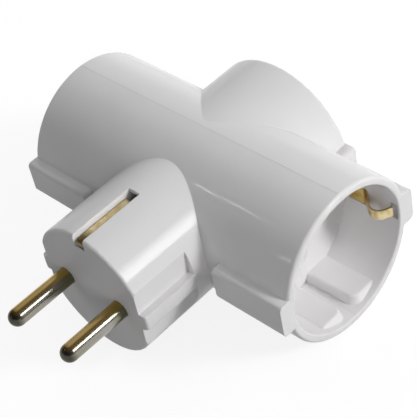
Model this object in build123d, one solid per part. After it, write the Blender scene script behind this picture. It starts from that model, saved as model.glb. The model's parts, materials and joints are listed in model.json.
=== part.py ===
from build123d import *
import math
import os

# A three-way earthed adapter: a round-pin plug, a socket at each end of a barrel, a third behind the plug.
# Millimetres. X runs along the barrel, the plug points to -Y, +Z is up. The origin is the plug face centre.

# Pins and recess, by the standard for round-pin plugs
PIN_DIAMETER = 4.8
PIN_PITCH = 19.0
PIN_REACH = 19.0
PIN_HOLE_DIAMETER = 5.2
PIN_HOLE_FLARE = 0.8
RECESS_DIAMETER = 39.0
RECESS_DEPTH = 17.5

# Housing
SHELL_WALL = 2.25
THIRD_SOCKET_WALL = 2.15
FLOOR_THICKNESS = 2.5
CHAMBER_GAP = 2.85
PLUG_REACH = 43.0
THIRD_SOCKET_REACH = 28.0
RIM_ROUND = 0.9
RIM_INNER_ROUND = 0.4
SEAM_CHAMFER = 0.04
SEAM_DRAFT = 4.0

# Raised housings of the socket earth clips
CLIP_HOUSING_LENGTH = 22.2
CLIP_HOUSING_HEIGHT = 9.8
CLIP_HOUSING_PROUD = 2.5
CLIP_HOUSING_ROUND = 1.2
CLIP_HOUSING_END_ROUND = 0.8

# Guide shoulders in the recess, a pair above and a pair below
GUIDE_TOP = 16.8
GUIDE_SPAN = 20.0
GUIDE_GROOVE = 4.6
GUIDE_SETBACK = 2.2
GUIDE_ROUND = 0.8
GUIDE_LEAD_ROUND = 2.2
GUIDE_DRAFT = 15.0

# Plug body, which fits a recess of the same size
PLUG_CLEARANCE = 1.0
PLUG_FACE_WALL = 4.0
PLUG_FACE_ROUND = 0.8
FLAT_CLEARANCE = 0.5
FLAT_END_CLEARANCE = 0.3
FLAT_WALL = 1.4
RIB_CLEARANCE = 0.15

# Earth slots and bracket of the plug
EARTH_SLOT_WIDTH = 3.6
EARTH_SLOT_LENGTH = 19.1
EARTH_SLOT_DEPTH = 2.6
EARTH_SLOT_REAR_GAP = 1.2
EARTH_SLOT_RIM = 1.2
EARTH_SLOT_RELIEF = 4.0
EARTH_SLOT_FACE_RIM = 2.0
EARTH_NOTCH_DEPTH = 3.6
EARTH_NOTCH_LENGTH = 1.6
BRACKET_CLEARANCE = 0.5
BRACKET_LIP_SETBACK = 0.3
BRACKET_FLOOR_GAP = 0.1

# Socket earth clips
CLIP_THICKNESS = 0.6
CLIP_BASE_WIDTH = 5.6
CLIP_ARM_WIDTH = 2.8
CLIP_WALL_SINK = 0.5
CLIP_CLEARANCE = 0.15
CLIP_BEND_AT = 6.5
CLIP_BULGE_SETBACK = 4.5
CLIP_BULGE_RISE = 5.4
CLIP_BULGE_BEND = 2.6
CLIP_END_SETBACK = 2.0
CLIP_END_LIFT = 0.6
CLIP_POCKET_SETBACK = 0.7
CLIP_POCKET_LENGTH = 1.8
CLIP_POCKET_WIDTH = 5.0
CLIP_POCKET_DEPTH = 1.4

# Strips, busbars and contact sleeves
STRIP_THICKNESS = 0.8
STRIP_BEND = 1.0
BAR_WIDTH = 6.0
STEM_WIDTH = 4.0
SLEEVE_WALL = 0.6
SLEEVE_SLIT = 1.2
SLEEVE_FOOT_WIDTH = 5.0
SLEEVE_FOOT_THICKNESS = 0.7
PIN_TIP_FREE = 2.5
CONTACT_GAP = 0.8
RIVET_EDGE = 2.0
RIVET_DIAMETER = 1.8
RIVET_HEAD_DIAMETER = 3.2
RIVET_HEAD_HEIGHT = 0.8
RIVET_HEAD_CHAMFER = 0.3
RIVET_CLEARANCE = 0.02

# Pin shanks inside the plug
PIN_CLEARANCE = 0.05
PIN_SEAT_DEPTH = 0.08
PIN_BOSS_DIAMETER = 8.0
PIN_BOSS_LENGTH = 5.2
PIN_SHANK_DIAMETER = 4.3
PIN_TAIL_DIAMETER = 3.0
PIN_TAIL_HEAD_DIAMETER = 4.2
PIN_TAIL_HEAD_HEIGHT = 0.8
TAB_EDGE = 1.2

# Earth strap and link
STRAP_WIDTH = 4.6
STRAP_SETBACK = 8.0
STRAP_NECK = 6.0
STRAP_END = 4.0
STRAP_EYE_DIAMETER = 10.0
LINK_INSET = 9.2
LINK_FLANGE = 4.0

# Housing screw
SCREW_DIAMETER = 3.5
SCREW_CLEARANCE = 0.05
SCREW_HEAD_DIAMETER = 6.6
SCREW_HEAD_HEIGHT = 1.2
SCREW_HEAD_SINK = 1.3
SCREW_SLOT_WIDTH = 0.9
SCREW_SLOT_DEPTH = 0.7
SCREW_SLOT_REACH = 2.2
SCREW_HEAD_ROUND = 0.4
SCREW_TIP_CHAMFER = 0.6
SCREW_BOSS_DIAMETER = 7.0
SCREW_END_FREE = 1.5

# How far a cut runs past the face that it opens
OVERCUT = 1.0

# Places worked out from the sizes above, measured from the crossing of the barrel's and the plug's axes
recess_radius = RECESS_DIAMETER / 2
barrel_radius = recess_radius + SHELL_WALL
seam_draft = math.radians(SEAM_DRAFT)
seam_height = barrel_radius / math.cos(seam_draft)
third_radius = recess_radius + THIRD_SOCKET_WALL
chamber_half = third_radius + CHAMBER_GAP
half_length = chamber_half + FLOOR_THICKNESS + RECESS_DEPTH
third_floor = THIRD_SOCKET_REACH - RECESS_DEPTH
third_floor_back = third_floor - FLOOR_THICKNESS
pin_z = PIN_PITCH / 2
plug_radius = recess_radius - PLUG_CLEARANCE
plug_flat = GUIDE_TOP - FLAT_CLEARANCE
plug_bore = plug_flat - FLAT_WALL
face_wall_back = PLUG_FACE_WALL - PLUG_REACH
pin_seat = PIN_SEAT_DEPTH - PLUG_REACH
tab_front = face_wall_back + PIN_BOSS_LENGTH
tab_back = tab_front + STRIP_THICKNESS
slot_rear = EARTH_SLOT_LENGTH - PLUG_REACH
web_back = slot_rear - EARTH_SLOT_REAR_GAP
web_front = web_back - STRIP_THICKNESS
slot_floor = plug_radius - EARTH_SLOT_DEPTH
lower_slot_front = EARTH_SLOT_FACE_RIM - PLUG_REACH
leaf_middle = slot_floor + BRACKET_FLOOR_GAP + STRIP_THICKNESS / 2
sleeve_radius = PIN_HOLE_DIAMETER / 2 + SLEEVE_WALL
sleeve_length = PIN_REACH - FLOOR_THICKNESS - PIN_TIP_FREE
tail_length = chamber_half - sleeve_length - sleeve_radius - CONTACT_GAP
foot_bottom = pin_z - sleeve_radius
bar_bottom = foot_bottom - STRIP_THICKNESS
clip_line = recess_radius + CLIP_WALL_SINK - CLIP_THICKNESS / 2
clip_back = FLOOR_THICKNESS + CLIP_THICKNESS
link_at = clip_line - LINK_INSET
screw_seat = third_floor - SCREW_HEAD_SINK

# Where each socket stands: its own frame has the floor at x = 0 and looks along +X
SOCKETS = {
    "right": Pos(half_length - RECESS_DEPTH, 0, 0),
    "left": Rot(0, 0, 180) * Pos(half_length - RECESS_DEPTH, 0, 0),
    "back": Rot(0, 0, 90) * Pos(third_floor, 0, 0),
}


def rod_x(radius, start, end):
    return Pos((start + end) / 2, 0, 0) * Rot(0, 90, 0) * Cylinder(radius, end - start)


def rod_y(radius, start, end):
    return Pos(0, (start + end) / 2, 0) * Rot(90, 0, 0) * Cylinder(radius, end - start)


def rod_z(radius, start, end):
    return Pos(0, 0, (start + end) / 2) * Cylinder(radius, end - start)


def block(x, y, z):
    """A box from three pairs of limits."""
    middle = Pos((x[0] + x[1]) / 2, (y[0] + y[1]) / 2, (z[0] + z[1]) / 2)
    return middle * Box(x[1] - x[0], y[1] - y[0], z[1] - z[0])


def both_sides(limits):
    """The limits on the positive side and their mirror image."""
    return (limits, (-limits[1], -limits[0]))


def bent_strip(points, bends, thickness, width, plane=Plane.XY):
    """A strip bent along a line in a plane, with its width across that plane."""
    line = FilletPolyline(*points, radius=bends)
    return extrude(plane * trace(line, line_width=thickness), amount=width / 2, both=True)


def end_edges(solid, axis):
    """The circles at the far end of a round body along an axis."""
    return solid.faces().sort_by(axis)[-1].edges()


def socket_space():
    """The recess with its rounded rim edge, less the four guide shoulders."""
    rim_start = RECESS_DEPTH - RIM_INNER_ROUND
    rim_radius = recess_radius + RIM_INNER_ROUND
    wall = Polyline((0, 0), (0, recess_radius), (rim_start, recess_radius))
    lip = RadiusArc((rim_start, recess_radius), (RECESS_DEPTH, rim_radius), -RIM_INNER_ROUND)
    outside = RECESS_DEPTH + OVERCUT
    mouth = Polyline((RECESS_DEPTH, rim_radius), (outside, rim_radius), (outside, 0), (0, 0))
    return revolve(make_face(wall + lip + mouth), Axis.X) - guide_shoulders()


def guide_shoulders():
    """Two pairs of shoulders with sloped sides, a groove between each pair, rounded where a plug runs in."""
    end = RECESS_DEPTH - GUIDE_SETBACK
    width = (GUIDE_SPAN - GUIDE_GROOVE) / 2
    outline = Pos(end / 2, (GUIDE_GROOVE + width) / 2) * Rectangle(end, width)
    lead_corner = outline.vertices().sort_by_distance((end, 0))[0]
    outline = fillet(lead_corner, GUIDE_LEAD_ROUND)
    shoulder = Pos(0, 0, GUIDE_TOP) * extrude(outline, amount=barrel_radius - GUIDE_TOP, taper=-GUIDE_DRAFT)
    top_edges = shoulder.faces().sort_by(Axis.Z)[0].edges()
    run_in = top_edges.filter_by(lambda edge: edge.center().X > OVERCUT)
    shoulder = fillet(run_in, GUIDE_ROUND) & rod_x(recess_radius + SHELL_WALL / 2, 0, RECESS_DEPTH)
    upper = shoulder + mirror(shoulder, Plane.XZ)
    return upper + mirror(upper, Plane.XY)


def floor_cuts():
    """Pin holes with flared mouths, channels for the earth clip's arms and pockets for their ends."""
    radius = PIN_HOLE_DIAMETER / 2
    hole = rod_x(radius, -FLOOR_THICKNESS - OVERCUT, OVERCUT)
    cone = Cone(radius, radius + PIN_HOLE_FLARE, PIN_HOLE_FLARE)
    flare = Pos(-PIN_HOLE_FLARE / 2, 0, 0) * Rot(0, 90, 0) * cone
    cuts = [Pos(0, 0, z) * (hole + flare) for z in (pin_z, -pin_z)]
    half_base = CLIP_BASE_WIDTH / 2 + CLIP_CLEARANCE
    channel_x = (-clip_back - CLIP_CLEARANCE, CLIP_BEND_AT + STRIP_BEND)
    channel_y = (clip_line - STRIP_BEND - CLIP_CLEARANCE, clip_line + CLIP_THICKNESS / 2 + CLIP_CLEARANCE)
    pocket_end = RECESS_DEPTH - CLIP_POCKET_SETBACK
    pocket_y = (recess_radius - OVERCUT, recess_radius + CLIP_POCKET_DEPTH)
    half_pocket = CLIP_POCKET_WIDTH / 2
    for side in both_sides(channel_y):
        cuts.append(block(channel_x, side, (-half_base, half_base)))
    for side in both_sides(pocket_y):
        cuts.append(block((pocket_end - CLIP_POCKET_LENGTH, pocket_end), side, (-half_pocket, half_pocket)))
    return cuts


def earth_clip(eye=0.0):
    """A U of strip behind the socket's floor, with two narrow sprung arms that bulge into the recess."""
    bridge_x = -FLOOR_THICKNESS - CLIP_THICKNESS / 2
    arm_end = RECESS_DEPTH - CLIP_END_SETBACK
    points = [
        (bridge_x, 0),
        (bridge_x, clip_line),
        (CLIP_BEND_AT, clip_line),
        (RECESS_DEPTH - CLIP_BULGE_SETBACK, clip_line - CLIP_BULGE_RISE),
        (arm_end, clip_line - CLIP_END_LIFT),
    ]
    arm = bent_strip(points, [STRIP_BEND, STRIP_BEND, CLIP_BULGE_BEND], CLIP_THICKNESS, CLIP_BASE_WIDTH)
    free_x = (CLIP_BEND_AT, RECESS_DEPTH)
    for side in both_sides((CLIP_ARM_WIDTH / 2, CLIP_BASE_WIDTH)):
        arm -= block(free_x, (0, barrel_radius), side)
    clip = arm + mirror(arm, Plane.XZ)
    if eye:
        clip -= rod_x(eye / 2, -clip_back - OVERCUT, 0)
    return clip


def contact_sleeve():
    """A split sleeve for the upper pin of a socket, on a foot that runs back to its rivet."""
    round_part = Circle(sleeve_radius) - Circle(PIN_HOLE_DIAMETER / 2)
    slit = Pos(0, -sleeve_radius) * Rectangle(SLEEVE_SLIT, 2 * sleeve_radius)
    foot = Rectangle(SLEEVE_FOOT_WIDTH, SLEEVE_FOOT_THICKNESS)
    foot = Pos(0, sleeve_radius - SLEEVE_FOOT_THICKNESS / 2) * foot
    section = round_part - slit + (foot - Circle(PIN_HOLE_DIAMETER / 2))
    plane = Plane(origin=(-FLOOR_THICKNESS, 0, pin_z), x_dir=(0, 1, 0), z_dir=(-1, 0, 0))
    sleeve = extrude(plane * section, amount=sleeve_length)
    tail_start = -FLOOR_THICKNESS - sleeve_length
    tail_x = (tail_start - tail_length, tail_start)
    half_foot = SLEEVE_FOOT_WIDTH / 2
    tail = block(tail_x, (-half_foot, half_foot), (foot_bottom, foot_bottom + SLEEVE_WALL))
    return sleeve + tail - rivet_hole()


def rivet_place():
    """The rivet's axis on the contact's tail, in the socket's frame."""
    return Pos(RIVET_EDGE - FLOOR_THICKNESS - sleeve_length - tail_length, 0, 0)


def rivet_hole():
    radius = RIVET_DIAMETER / 2 + RIVET_CLEARANCE
    return rivet_place() * Pos(0, 0, foot_bottom) * Cylinder(radius, 4 * STRIP_THICKNESS)


def rivet():
    """A rivet with a bevelled head above the contact's tail and a flat one below the busbar."""
    top = foot_bottom + SLEEVE_WALL
    shank = rod_z(RIVET_DIAMETER / 2, bar_bottom, top)
    upper = rod_z(RIVET_HEAD_DIAMETER / 2, top, top + RIVET_HEAD_HEIGHT)
    lower = rod_z(RIVET_HEAD_DIAMETER / 2, bar_bottom - RIVET_HEAD_HEIGHT, bar_bottom)
    upper = chamfer(end_edges(upper, Axis.Z), RIVET_HEAD_CHAMFER)
    return rivet_place() * (shank + upper + lower)


def busbar():
    """The upper busbar: a cross of strip under the sleeves, with a stem bent down to its pin."""
    back_rivet = third_floor_back - sleeve_length - tail_length
    cross_half = pin_z + STEM_WIDTH / 2
    cross = Rectangle(2 * cross_half, BAR_WIDTH)
    tongue = Pos(0, back_rivet / 2) * Rectangle(BAR_WIDTH, -back_rivet)
    plate = Pos(0, 0, bar_bottom) * extrude(cross + tongue, amount=STRIP_THICKNESS)
    bar_middle = bar_bottom + STRIP_THICKNESS / 2
    tab_middle = (tab_front + tab_back) / 2
    tab_end = -PIN_TAIL_HEAD_DIAMETER / 2 - TAB_EDGE
    line = [(0, bar_middle), (tab_middle, bar_middle), (tab_middle, tab_end)]
    stem = Pos(-pin_z, 0, 0) * bent_strip(line, STRIP_BEND, STRIP_THICKNESS, STEM_WIDTH, Plane.YZ)
    tail_hole = rod_y(PIN_TAIL_DIAMETER / 2 + RIVET_CLEARANCE, tab_front - OVERCUT, tab_back + OVERCUT)
    bar = plate + stem - Pos(-pin_z, 0, 0) * tail_hole
    for name in SOCKETS:
        bar -= SOCKETS[name] * rivet_hole()
    return bar


def pin():
    """A turned pin: its shoulder seats in the plug's face, its tail is headed over the busbar's tab."""
    radius = PIN_DIAMETER / 2
    shank = PIN_SHANK_DIAMETER / 2
    tip = -PLUG_REACH - PIN_REACH
    steps = [
        (radius, pin_seat),
        (shank, pin_seat),
        (shank, tab_front),
        (PIN_TAIL_DIAMETER / 2, tab_front),
        (PIN_TAIL_DIAMETER / 2, tab_back),
        (PIN_TAIL_HEAD_DIAMETER / 2, tab_back),
        (PIN_TAIL_HEAD_DIAMETER / 2, tab_back + PIN_TAIL_HEAD_HEIGHT),
        (0, tab_back + PIN_TAIL_HEAD_HEIGHT),
        (0, tip),
    ]
    nose = RadiusArc((0, tip), (radius, tip + radius), -radius)
    return revolve(make_face(nose + Polyline((radius, tip + radius), *steps)), Axis.Y)


def plug_earth_bracket():
    """A C of strip: leaves in the plug's slots, a lip at the face, a web with the screw's eye."""
    lip = BRACKET_LIP_SETBACK + STRIP_THICKNESS / 2 - PLUG_REACH
    lip_end = plug_radius - EARTH_NOTCH_DEPTH + BRACKET_FLOOR_GAP
    web = (web_front + web_back) / 2
    upper = [(lip, lip_end), (lip, leaf_middle), (web, leaf_middle)]
    lower = [(web, -leaf_middle), (lower_slot_front + BRACKET_CLEARANCE, -leaf_middle)]
    width = EARTH_SLOT_WIDTH - 2 * BRACKET_CLEARANCE
    bends = [STRIP_THICKNESS, STRIP_BEND, STRIP_BEND]
    bracket = bent_strip(upper + lower, bends, STRIP_THICKNESS, width, Plane.YZ)
    bracket += rod_y(STRAP_EYE_DIAMETER / 2, web_front, web_back)
    return bracket - rod_y(SCREW_DIAMETER / 2 + SCREW_CLEARANCE, web_front - OVERCUT, web_back + OVERCUT)


def earth_strap():
    """A hat-shaped strap from the plug's bracket to the clips of both end sockets."""
    end_x = chamber_half - CLIP_THICKNESS - STRIP_THICKNESS / 2
    eye_y = web_back + STRIP_THICKNESS / 2
    right = [(STRAP_NECK, eye_y), (STRAP_NECK, -STRAP_SETBACK), (end_x, -STRAP_SETBACK), (end_x, STRAP_END)]
    left = [(-x, y) for x, y in reversed(right)]
    strap = bent_strip(left + right, STRIP_BEND, STRIP_THICKNESS, STRAP_WIDTH)
    strap += rod_y(STRAP_EYE_DIAMETER / 2, web_back, web_back + STRIP_THICKNESS)
    return strap - rod_y(SCREW_DIAMETER / 2 + SCREW_CLEARANCE, web_back - OVERCUT, web_back + 2 * OVERCUT)


def back_earth_link():
    """A channel of strip from the strap to the back socket's clip."""
    clip_y = third_floor_back - CLIP_THICKNESS - STRIP_THICKNESS / 2
    strap_y = STRIP_THICKNESS - STRAP_SETBACK
    far = link_at + LINK_FLANGE
    line = [(far, clip_y), (link_at, clip_y), (link_at, strap_y), (far, strap_y)]
    return bent_strip(line, STRIP_BEND, STRIP_THICKNESS, STRAP_WIDTH)


def housing_screw():
    """The screw that holds the shells together, with a cross recess in its head."""
    end = face_wall_back + SCREW_END_FREE
    shank = rod_y(SCREW_DIAMETER / 2, end, screw_seat)
    shank = chamfer(shank.faces().sort_by(Axis.Y)[0].edges(), SCREW_TIP_CHAMFER)
    head_top = screw_seat + SCREW_HEAD_HEIGHT
    head = rod_y(SCREW_HEAD_DIAMETER / 2, screw_seat, head_top)
    head = fillet(end_edges(head, Axis.Y), SCREW_HEAD_ROUND)
    half_slot = SCREW_SLOT_WIDTH / 2
    reach = SCREW_SLOT_REACH
    slot_y = (head_top - SCREW_SLOT_DEPTH, head_top + OVERCUT)
    across = block((-reach, reach), slot_y, (-half_slot, half_slot))
    along = block((-half_slot, half_slot), slot_y, (-reach, reach))
    return shank + head - across - along


def clip_housing(reach, radius):
    """A raised rib on a socket's wall, for a socket along +X whose rim is at reach; its top faces +Y."""
    top = radius + CLIP_HOUSING_PROUD
    bottom = recess_radius + SHELL_WALL / 2
    section = Pos(0, (bottom + top) / 2) * Rectangle(CLIP_HOUSING_HEIGHT, top - bottom)
    section = fillet(section.vertices().group_by(Axis.Y)[-1], CLIP_HOUSING_ROUND)
    plane = Plane(origin=(reach, 0, 0), x_dir=(0, 0, 1), z_dir=(-1, 0, 0))
    rib = extrude(plane * section, amount=CLIP_HOUSING_LENGTH)
    inner_end = rib.faces().sort_by(Axis.X)[0]
    return fillet(inner_end.edges().sort_by(Axis.Y)[1:], CLIP_HOUSING_END_ROUND)


def end_housings(side):
    """The clip housings at both ends of the barrel, on one side of it."""
    housing = clip_housing(half_length, barrel_radius)
    facing = housing if side > 0 else mirror(housing, Plane.XZ)
    return facing + mirror(facing, Plane.YZ)


def half_barrel(side):
    """The barrel's half on one side of the seam: round, drafted straight at the seam, with rounded ends."""
    upper = (-barrel_radius * math.sin(seam_draft), barrel_radius * math.cos(seam_draft))
    lower = (upper[0], -upper[1])
    flanks = Polyline(lower, (0, -seam_height), (0, seam_height), upper)
    section = make_face(flanks + ThreePointArc(upper, (-barrel_radius, 0), lower))
    barrel = extrude(Plane.YZ * section, amount=half_length, both=True)
    end_faces = barrel.faces().filter_by(Axis.X)
    rims = end_faces.edges().filter_by(lambda edge: edge.center().Y < upper[0] / 4)
    barrel = fillet(rims, RIM_ROUND)
    return mirror(barrel, Plane.XZ) if side > 0 else barrel


def seam_cuts():
    """A fine groove along the seam, on the barrel's top and bottom and across the rims."""
    bar = Rot(45, 0, 0) * Box(2 * half_length, SEAM_CHAMFER * 2 ** 0.5, SEAM_CHAMFER * 2 ** 0.5)
    post = Rot(0, 0, 45) * Box(SEAM_CHAMFER * 2 ** 0.5, SEAM_CHAMFER * 2 ** 0.5, 2 * seam_height)
    along = [Pos(0, 0, z) * bar for z in (seam_height, -seam_height)]
    across = [Pos(x, 0, 0) * post for x in (half_length, -half_length)]
    return along + across


def chamber():
    """The space inside the barrel between the end sockets' floors, in front of the third socket."""
    third_body = rod_y(third_radius, third_floor_back, THIRD_SOCKET_REACH)
    return rod_x(recess_radius, -chamber_half, chamber_half) - third_body


def socket_cuts(names):
    """All the cuts of the named sockets."""
    cuts = []
    for name in names:
        cuts.append(SOCKETS[name] * socket_space())
        cuts += [SOCKETS[name] * cut for cut in floor_cuts()]
    return cuts


def plug_body():
    """The plug's outside: rounded face edge, and side flats with a rib left between them."""
    body = rod_y(plug_radius, -PLUG_REACH, 0)
    body = fillet(body.faces().sort_by(Axis.Y)[0].edges(), PLUG_FACE_ROUND)
    flat_y = (-PLUG_REACH - OVERCUT, RECESS_DEPTH - FLAT_END_CLEARANCE - PLUG_REACH)
    half_rib = GUIDE_GROOVE / 2 - RIB_CLEARANCE
    for x in both_sides((plug_flat, plug_radius + OVERCUT)):
        for z in both_sides((half_rib, plug_radius)):
            body -= block(x, flat_y, z)
    return body


def earth_slots():
    """Slots above and below, the upper one open at the face, with a way in at the back for the bracket."""
    half_width = EARTH_SLOT_WIDTH / 2
    x = (-half_width, half_width)
    front = -PLUG_REACH - OVERCUT
    top = plug_radius + OVERCUT
    notch_end = EARTH_NOTCH_LENGTH - PLUG_REACH
    cuts = []
    for start, z in zip((front, lower_slot_front), both_sides((slot_floor, top))):
        cuts.append(block(x, (start, slot_rear), z))
    cuts.append(block(x, (front, notch_end), (plug_radius - EARTH_NOTCH_DEPTH, top)))
    way_in = (web_front - BRACKET_CLEARANCE, slot_rear + EARTH_SLOT_RELIEF)
    for z in both_sides((plug_bore - OVERCUT, plug_radius - EARTH_SLOT_RIM)):
        cuts.append(block(x, way_in, z))
    return cuts


def front_shell():
    """The plug, the front half of the barrel and the front halves of both end sockets."""
    shell = half_barrel(-1) + plug_body() + end_housings(-1)
    shell -= chamber()
    shell -= rod_y(plug_bore, face_wall_back, 0)
    screw_boss = rod_y(SCREW_BOSS_DIAMETER / 2, face_wall_back - OVERCUT, web_front)
    pin_boss = rod_y(PIN_BOSS_DIAMETER / 2, face_wall_back - OVERCUT, tab_front)
    shell += [screw_boss, Pos(-pin_z, 0, 0) * pin_boss, Pos(pin_z, 0, 0) * pin_boss]
    shell -= socket_cuts(["right", "left"])
    shell -= earth_slots()
    pin_hole = rod_y(PIN_SHANK_DIAMETER / 2 + PIN_CLEARANCE, -PLUG_REACH - OVERCUT, tab_front + OVERCUT)
    screw_hole = rod_y(SCREW_DIAMETER / 2 + SCREW_CLEARANCE, face_wall_back, web_front + OVERCUT)
    pin_hole += rod_y(PIN_DIAMETER / 2 + PIN_CLEARANCE, -PLUG_REACH - OVERCUT, pin_seat)
    shell -= [Pos(-pin_z, 0, 0) * pin_hole, Pos(pin_z, 0, 0) * pin_hole, screw_hole]
    return shell - seam_cuts()


def back_shell():
    """The back half of the barrel, the back halves of both end sockets, and the whole third socket."""
    tube = rod_y(third_radius, 0, THIRD_SOCKET_REACH)
    tube = fillet(end_edges(tube, Axis.Y), RIM_ROUND)
    side_housing = Rot(0, 0, 90) * clip_housing(THIRD_SOCKET_REACH, third_radius)
    shell = half_barrel(1) + tube + end_housings(1) + side_housing + mirror(side_housing, Plane.YZ)
    shell -= chamber()
    shell -= socket_cuts(["right", "left", "back"])
    screw_hole = rod_y(SCREW_DIAMETER / 2 + SCREW_CLEARANCE, third_floor_back - OVERCUT, third_floor)
    head_hole = rod_y(SCREW_HEAD_DIAMETER / 2 + 4 * SCREW_CLEARANCE, screw_seat, third_floor + OVERCUT)
    shell -= [screw_hole, head_hole]
    return shell - seam_cuts()


def pieces():
    """Every piece by name, in the frame of the crossing axes."""
    turn_over = Rot(0, 180, 0)
    made = {
        "front_shell": front_shell(),
        "back_shell": back_shell(),
        "line_pin": Pos(-pin_z, 0, 0) * pin(),
        "neutral_pin": Pos(pin_z, 0, 0) * pin(),
        "line_busbar": busbar(),
        "neutral_busbar": turn_over * busbar(),
        "plug_earth_bracket": plug_earth_bracket(),
        "earth_strap": earth_strap(),
        "back_earth_link": back_earth_link(),
        "housing_screw": housing_screw(),
    }
    screw_eye = SCREW_DIAMETER + 4 * SCREW_CLEARANCE
    for name, place in SOCKETS.items():
        made[name + "_earth_clip"] = place * earth_clip(screw_eye if name == "back" else 0.0)
        made[name + "_line_contact"] = place * contact_sleeve()
        made[name + "_neutral_contact"] = place * mirror(contact_sleeve(), Plane.XY)
        made[name + "_line_rivet"] = place * rivet()
        made[name + "_neutral_rivet"] = place * mirror(rivet(), Plane.XY)
    return made


os.makedirs("parts", exist_ok=True)
to_plug_face = Pos(0, PLUG_REACH, 0)
for name, piece in pieces().items():
    export_step(to_plug_face * piece, f"parts/{name}.step")
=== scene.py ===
import json
import math

import bpy
from mathutils import Matrix, Vector


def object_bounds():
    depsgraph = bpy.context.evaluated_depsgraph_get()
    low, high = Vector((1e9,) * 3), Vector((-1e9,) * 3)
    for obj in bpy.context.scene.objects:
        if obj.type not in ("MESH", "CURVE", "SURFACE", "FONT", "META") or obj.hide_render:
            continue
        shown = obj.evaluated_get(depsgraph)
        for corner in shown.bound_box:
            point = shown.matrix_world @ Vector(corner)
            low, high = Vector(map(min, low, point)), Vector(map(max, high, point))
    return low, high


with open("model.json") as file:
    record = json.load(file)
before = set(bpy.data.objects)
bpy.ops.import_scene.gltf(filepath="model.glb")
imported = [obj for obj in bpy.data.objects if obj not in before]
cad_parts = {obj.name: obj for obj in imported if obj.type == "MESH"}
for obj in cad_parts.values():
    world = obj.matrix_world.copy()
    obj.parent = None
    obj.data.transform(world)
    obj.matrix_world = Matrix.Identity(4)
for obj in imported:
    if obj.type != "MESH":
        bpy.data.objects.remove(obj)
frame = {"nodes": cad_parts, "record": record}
cad_low, cad_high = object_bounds()

# Places and sizes, in metres
MM = 0.001
PLUG_REACH = 43 * MM          # from the plug's face to the barrel's axis
PIN_REACH = 19 * MM           # from the plug's face to the tips of the pins
CENTRE = Vector((0, PLUG_REACH, 0))
FLOOR_GAP = 0.2 * MM
FLOOR_Z = cad_low.z - FLOOR_GAP
FLOOR_REACH = 30.0
LAMP_DISTANCE = 0.7
SOFT = (0.42, 0.42)

# Colours and levels of the floor and the world
WHITE = (1, 1, 1)
FLOOR_COLOUR = (0.2, 0.2, 0.2, 1)
WORLD_COLOUR = (1.0, 0.985, 0.985, 1)
BACKDROP_LEVEL = 0.86
SKY_LEVEL = 0.13
HORIZON_TOP = 0.13            # where the pale horizon starts to fade, as the height of a direction
SKY_START = 0.26

# The photograph's camera: angles in degrees, lengths in the image in pixels
CAMERA_TURN = 52.165
CAMERA_RISE = 43.065
CAMERA_ROLL = -12.664
CAMERA_DISTANCE = 353.2 * MM
FOCAL_LENGTH = 1382.2
IMAGE_SIDE = 418
CENTRE_IN_IMAGE = (214.18, 189.2)
SENSOR_WIDTH = 36             # in millimetres, as Blender counts it

# Lamps that light the part: the direction that each shines from, its size and its power
LAMPS = {
    "key": ((0.805, 0.347, 0.484), (0.14, 0.14), 2.72),
    "right_high": ((0.6, 0, 0.8), SOFT, 0.47),
    "left_high": ((-0.6, 0, 0.8), SOFT, 0.82),
    "right_front": ((0.7, -0.7, 0.3), SOFT, 0.84),
    "front": ((0, -0.95, 0.1), SOFT, 0.24),
    "left_front": ((-0.7, -0.7, 0.3), SOFT, 0.28),
    "right_back": ((0.7, 0.7, 0.3), SOFT, 1.1),
    "left_back": ((-0.7, 0.7, 0.3), SOFT, 2.2),
}
# Lamps that show only as reflections in glossy surfaces
MIRRORED = {
    "strip": ((0.722, 0.316, 0.58), (0.19, 0.235), 0.74),
    "strip_edge": ((0.756, 0.316, 0.547), (0.19, 0.155), 0.5),
    "panel": ((-0.57, 0.45, 0.68), (0.68, 0.68), 0.5),
    "spark_left": ((-0.559, -0.525, 0.642), (0.022, 0.008), 0.016),
    "spark_right": ((-0.522, -0.533, 0.665), (0.022, 0.008), 0.013),
    "spark_low": ((-0.461, -0.829, 0.316), (0.02, 0.009), 0.02),
}


# Node helpers

def new_material(name):
    """An empty material with one principled shader."""
    material = bpy.data.materials.new(name)
    material.use_nodes = True
    nodes, links = material.node_tree.nodes, material.node_tree.links
    nodes.clear()
    output = nodes.new("ShaderNodeOutputMaterial")
    shader = nodes.new("ShaderNodeBsdfPrincipled")
    links.new(shader.outputs["BSDF"], output.inputs["Surface"])
    return material, nodes, links, shader


def noise(nodes, links, scale, detail, stretch=(1, 1, 1)):
    """A noise in object coordinates, stretched along the axes."""
    coords = nodes.new("ShaderNodeTexCoord")
    mapping = nodes.new("ShaderNodeMapping")
    mapping.inputs["Scale"].default_value = stretch
    texture = nodes.new("ShaderNodeTexNoise")
    texture.inputs["Scale"].default_value = scale
    texture.inputs["Detail"].default_value = detail
    links.new(coords.outputs["Object"], mapping.inputs["Vector"])
    links.new(mapping.outputs["Vector"], texture.inputs["Vector"])
    return texture.outputs["Fac"]


def place_along(nodes, links, axis, kind="Object"):
    """One coordinate of a surface point, or of a direction in the world."""
    coords = nodes.new("ShaderNodeTexCoord")
    split = nodes.new("ShaderNodeSeparateXYZ")
    links.new(coords.outputs[kind], split.inputs["Vector"])
    return split.outputs[axis]


def spread(nodes, links, factor, low, high, start=0.0, end=1.0):
    """A factor mapped from one range to another, and held at the ends."""
    node = nodes.new("ShaderNodeMapRange")
    node.inputs["From Min"].default_value = start
    node.inputs["From Max"].default_value = end
    node.inputs["To Min"].default_value = low
    node.inputs["To Max"].default_value = high
    links.new(factor, node.inputs["Value"])
    return node.outputs["Result"]


def along_y(nodes, links, start, end):
    """A factor from 0 to 1 between two places along Y."""
    return spread(nodes, links, place_along(nodes, links, "Y"), 0, 1, start, end)


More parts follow.
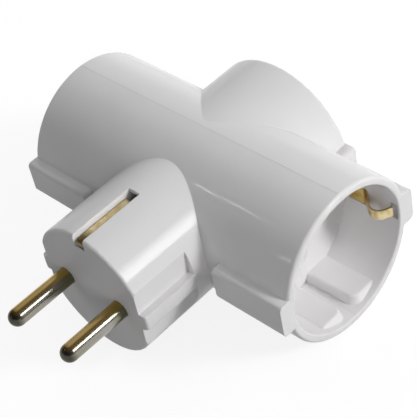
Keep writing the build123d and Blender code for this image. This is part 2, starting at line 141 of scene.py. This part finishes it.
def ramp(nodes, links, factor, stops):
    """A colour ramp over a factor, from (place, colour) pairs."""
    node = nodes.new("ShaderNodeValToRGB")
    elements = node.color_ramp.elements
    while len(elements) < len(stops):
        elements.new(0.5)
    for element, (place, colour) in zip(elements, stops):
        element.position = place
        element.color = (*colour, 1)
    links.new(factor, node.inputs["Fac"])
    return node.outputs["Color"]


def multiply(nodes, links, first, second):
    """Two colours multiplied."""
    node = nodes.new("ShaderNodeMix")
    node.data_type = "RGBA"
    node.blend_type = "MULTIPLY"
    node.inputs["Factor"].default_value = 1.0
    links.new(first, node.inputs["A"])
    links.new(second, node.inputs["B"])
    return node.outputs["Result"]


def bump(nodes, links, height, distance, strength, normal=None):
    """A normal bent by a height, on top of another normal if one is given."""
    node = nodes.new("ShaderNodeBump")
    node.inputs["Strength"].default_value = strength
    node.inputs["Distance"].default_value = distance
    links.new(height, node.inputs["Height"])
    if normal:
        links.new(normal, node.inputs["Normal"])
    return node.outputs["Normal"]


# Materials

def white_plastic():
    """Glossy white moulding: faint clouding, slightly wavy faces, softened edges, a dull plug face."""
    tones = [(0.3, (0.798, 0.787, 0.795)), (0.7, (0.830, 0.820, 0.827))]
    glossy, hazy, dull = 0.06, 0.12, 0.55
    dull_end, glossy_start = 0.1 * MM, 0.5 * MM
    tilted_haze = 0.27
    tilt_start, tilt_end = 0.35, 0.75
    edge_radius = 0.3 * MM
    wave_height = 0.03 * MM

    material, nodes, links, shader = new_material("white_plastic")
    cloud = noise(nodes, links, scale=55, detail=4)
    links.new(ramp(nodes, links, cloud, tones), shader.inputs["Base Color"])
    shader.inputs["Specular IOR Level"].default_value = 0.25
    haze = noise(nodes, links, scale=160, detail=3)
    gloss = spread(nodes, links, haze, glossy, hazy)
    behind_face = along_y(nodes, links, dull_end, glossy_start)
    finish = nodes.new("ShaderNodeMix")
    finish.inputs["A"].default_value = dull
    links.new(behind_face, finish.inputs["Factor"])
    links.new(gloss, finish.inputs["B"])
    # The gloss turns hazier where a face is seen edge-on
    tilt = nodes.new("ShaderNodeLayerWeight")
    edge_on = spread(nodes, links, tilt.outputs["Facing"], 0, tilted_haze, tilt_start, tilt_end)
    edge_on.node.interpolation_type = "SMOOTHSTEP"
    rougher = nodes.new("ShaderNodeMath")
    rougher.operation = "MAXIMUM"
    links.new(finish.outputs["Result"], rougher.inputs[0])
    links.new(edge_on, rougher.inputs[1])
    links.new(rougher.outputs[0], shader.inputs["Roughness"])
    edge = nodes.new("ShaderNodeBevel")
    edge.samples = 8
    edge.inputs["Radius"].default_value = edge_radius
    wave = noise(nodes, links, scale=110, detail=2)
    wavy = bump(nodes, links, wave, wave_height, strength=0.4, normal=edge.outputs["Normal"])
    links.new(wavy, shader.inputs["Normal"])
    return material


def plated_pin():
    """Worn nickel plate with random stains and fine rubbed lines; painted reflection makes it brassy on the
    upper side and grey below, with painted shade at the tip and a painted olive reflection of the plug's
    face near the plug.
    """
    # Painted reflection: a brassy colour where the pin faces up, grey where it faces down
    below_above = [(0.0, (0.36, 0.35, 0.32)), (1.0, (0.74, 0.53, 0.21))]
    grey_end, brassy_start = 0.74, 0.9
    # Painted shade darkens the tip; a painted olive reflection of the plug's face lies near the plug
    tip_to_plug = [(0.06, (0.22, 0.22, 0.2)), (0.16, WHITE), (0.72, WHITE), (0.9, (0.62, 0.62, 0.4))]
    stains = [(0.35, (0.72, 0.66, 0.52)), (0.65, WHITE)]
    smooth, rough = 0.18, 0.24
    line_height = 0.003 * MM

    material, nodes, links, shader = new_material("plated_pin")
    facing = nodes.new("ShaderNodeNewGeometry")
    split = nodes.new("ShaderNodeSeparateXYZ")
    links.new(facing.outputs["Normal"], split.inputs["Vector"])
    # Painted reflection, set by which way the surface faces
    upper = spread(nodes, links, split.outputs["Z"], 0, 1, grey_end, brassy_start)
    painted_facing_reflection = ramp(nodes, links, upper, below_above)
    # Painted shade at the tip and painted reflection of the plug's face, along the pin
    shade = ramp(nodes, links, along_y(nodes, links, -PIN_REACH, 0), tip_to_plug)
    wear = noise(nodes, links, scale=260, detail=4, stretch=(1, 0.25, 1))
    stain = ramp(nodes, links, wear, stains)
    colour = multiply(nodes, links, multiply(nodes, links, painted_facing_reflection, shade), stain)
    links.new(colour, shader.inputs["Base Color"])
    shader.inputs["Metallic"].default_value = 1.0
    rubbed = noise(nodes, links, scale=60, detail=3, stretch=(14, 1, 14))
    links.new(spread(nodes, links, rubbed, smooth, rough), shader.inputs["Roughness"])
    links.new(bump(nodes, links, rubbed, line_height, strength=0.02), shader.inputs["Normal"])
    return material


def brass_strip():
    """Rolled brass, tarnished at random; painted shade darkens the lip behind the plug's face, and painted
    shade and highlight run the clips' arms from yellow to brown to pale.
    """
    tarnishes = [(0.3, (0.52, 0.38, 0.15)), (0.5, (0.76, 0.62, 0.33)), (0.7, (0.86, 0.76, 0.50))]
    # Painted shade darkens the strip's lip by the plug's face
    lip_shades = [(0.1, (0.22, 0.20, 0.15)), (0.9, WHITE)]
    lip_start, lip_end = 2.0 * MM, 5.5 * MM
    # Painted shade and highlight: browner where the arm turns away from the light, pale where the bulge
    # catches it
    painted_arm_shading = [
        (0.0, WHITE),
        (0.1, (1.0, 0.92, 0.5)),
        (0.62, (1.0, 0.9, 0.5)),
        (0.72, (1.0, 0.75, 0.4)),
        (0.95, (0.9, 0.92, 0.98)),
    ]
    arm_start, arm_end = 20 * MM, 40 * MM
    smooth, rough = 0.22, 0.40
    grain_height = 0.01 * MM

    material, nodes, links, shader = new_material("brass_strip")
    tarnish = ramp(nodes, links, noise(nodes, links, scale=420, detail=5), tarnishes)
    # Painted shade on the lip by the plug's face
    shade = ramp(nodes, links, along_y(nodes, links, lip_start, lip_end), lip_shades)
    outward = nodes.new("ShaderNodeMath")
    outward.operation = "ABSOLUTE"
    links.new(place_along(nodes, links, "X"), outward.inputs[0])
    reach = spread(nodes, links, outward.outputs[0], 0, 1, arm_start, arm_end)
    # Painted shade and highlight along the clips' arms
    painted_arm_light = ramp(nodes, links, reach, painted_arm_shading)
    colour = multiply(nodes, links, multiply(nodes, links, tarnish, shade), painted_arm_light)
    links.new(colour, shader.inputs["Base Color"])
    shader.inputs["Metallic"].default_value = 1.0
    grain = noise(nodes, links, scale=900, detail=3)
    links.new(spread(nodes, links, grain, smooth, rough), shader.inputs["Roughness"])
    links.new(bump(nodes, links, grain, grain_height, strength=0.5), shader.inputs["Normal"])
    return material


def zinc_steel():
    """Zinc-plated screw steel."""
    tones = [(0.3, (0.48, 0.48, 0.47)), (0.7, (0.62, 0.62, 0.60))]
    smooth, rough = 0.28, 0.45

    material, nodes, links, shader = new_material("zinc_steel")
    tint = noise(nodes, links, scale=500, detail=4)
    links.new(ramp(nodes, links, tint, tones), shader.inputs["Base Color"])
    shader.inputs["Metallic"].default_value = 1.0
    links.new(spread(nodes, links, tint, smooth, rough), shader.inputs["Roughness"])
    return material


def floor_material():
    """A pale floor: white to the camera and in reflections, with the part's soft shadow kept."""
    material = bpy.data.materials.new("floor")
    material.use_nodes = True
    nodes, links = material.node_tree.nodes, material.node_tree.links
    nodes.clear()
    output = nodes.new("ShaderNodeOutputMaterial")
    matte = nodes.new("ShaderNodeBsdfDiffuse")
    matte.inputs["Color"].default_value = FLOOR_COLOUR
    glow = nodes.new("ShaderNodeEmission")
    path = nodes.new("ShaderNodeLightPath")
    seen = path.outputs["Is Camera Ray"]
    for kind in ("Is Glossy Ray", "Is Transmission Ray"):
        either = nodes.new("ShaderNodeMath")
        either.operation = "MAXIMUM"
        links.new(seen, either.inputs[0])
        links.new(path.outputs[kind], either.inputs[1])
        seen = either.outputs[0]
    links.new(spread(nodes, links, seen, 0, BACKDROP_LEVEL), glow.inputs["Strength"])
    both = nodes.new("ShaderNodeAddShader")
    links.new(matte.outputs[0], both.inputs[0])
    links.new(glow.outputs[0], both.inputs[1])
    links.new(both.outputs[0], output.inputs["Surface"])
    return material


# The stage

def make_floor():
    """A wide flat floor just under the part."""
    reach = FLOOR_REACH
    mesh = bpy.data.meshes.new("floor")
    corners = [(-reach, -reach, 0), (reach, -reach, 0), (reach, reach, 0), (-reach, reach, 0)]
    mesh.from_pydata(corners, [], [(0, 1, 2, 3)])
    floor = bpy.data.objects.new("floor", mesh)
    floor.location = (0, PLUG_REACH, FLOOR_Z)
    mesh.materials.append(floor_material())
    bpy.context.scene.collection.objects.link(floor)


def make_world():
    """Pale near the horizon, so that low views have a pale backdrop, and dim above."""
    world = bpy.data.worlds.new("studio")
    bpy.context.scene.world = world
    world.use_nodes = True
    nodes, links = world.node_tree.nodes, world.node_tree.links
    background = nodes["Background"]
    background.inputs["Color"].default_value = WORLD_COLOUR
    height = place_along(nodes, links, "Z", "Generated")
    level = spread(nodes, links, height, BACKDROP_LEVEL, SKY_LEVEL, HORIZON_TOP, SKY_START)
    links.new(level, background.inputs["Strength"])
    world.cycles_visibility.diffuse = False


def softbox(name, direction, size, power, mirrored):
    """A soft lamp that faces the part's centre, with its first side along the plug."""
    light = bpy.data.lights.new(name, "AREA")
    light.shape = "RECTANGLE"
    light.size, light.size_y = size
    light.energy = power
    lamp = bpy.data.objects.new(name, light)
    lamp.visible_glossy = mirrored
    lamp.visible_diffuse = not mirrored
    toward = Vector(direction).normalized()
    along = Vector((0, 1, 0))
    along = (along - toward * along.dot(toward)).normalized()
    turned = Matrix((along, toward.cross(along), toward)).transposed().to_4x4()
    lamp.matrix_world = Matrix.Translation(CENTRE + toward * LAMP_DISTANCE) @ turned
    bpy.context.scene.collection.objects.link(lamp)


def make_camera():
    """The photograph's camera: a slightly rolled view from above, in front and to the right."""
    turn, rise, roll = (math.radians(angle) for angle in (CAMERA_TURN, CAMERA_RISE, CAMERA_ROLL))
    aim_x, aim_y = (place - IMAGE_SIDE / 2 for place in CENTRE_IN_IMAGE)
    back = Vector((math.sin(turn) * math.cos(rise), -math.cos(turn) * math.cos(rise), math.sin(rise)))
    level = Vector((0, 0, 1)).cross(back).normalized()
    above = back.cross(level)
    right = level * math.cos(roll) + above * math.sin(roll)
    up = above * math.cos(roll) - level * math.sin(roll)
    ray = right * (aim_x / FOCAL_LENGTH) - up * (aim_y / FOCAL_LENGTH) - back
    place = CENTRE - ray.normalized() * CAMERA_DISTANCE
    data = bpy.data.cameras.new("camera")
    data.sensor_width = SENSOR_WIDTH
    data.lens = FOCAL_LENGTH * SENSOR_WIDTH / IMAGE_SIDE
    camera = bpy.data.objects.new("camera", data)
    turned = Matrix((right, up, back)).transposed().to_4x4()
    camera.matrix_world = Matrix.Translation(place) @ turned
    bpy.context.scene.collection.objects.link(camera)
    bpy.context.scene.camera = camera


# The dressed part on its stage

finishes = {"shell": white_plastic(), "pin": plated_pin(), "brass": brass_strip(), "steel": zinc_steel()}
slots = {entry["node"]: entry["material_slot"] for entry in frame["record"]["subparts"]}
for name, node in frame["nodes"].items():
    node.material_slots[0].material = finishes[slots[name]]

make_floor()
make_world()
for name, lamp in LAMPS.items():
    softbox(name, *lamp, mirrored=False)
for name, lamp in MIRRORED.items():
    softbox(name, *lamp, mirrored=True)
make_camera()
bpy.context.scene.view_settings.view_transform = "Standard"
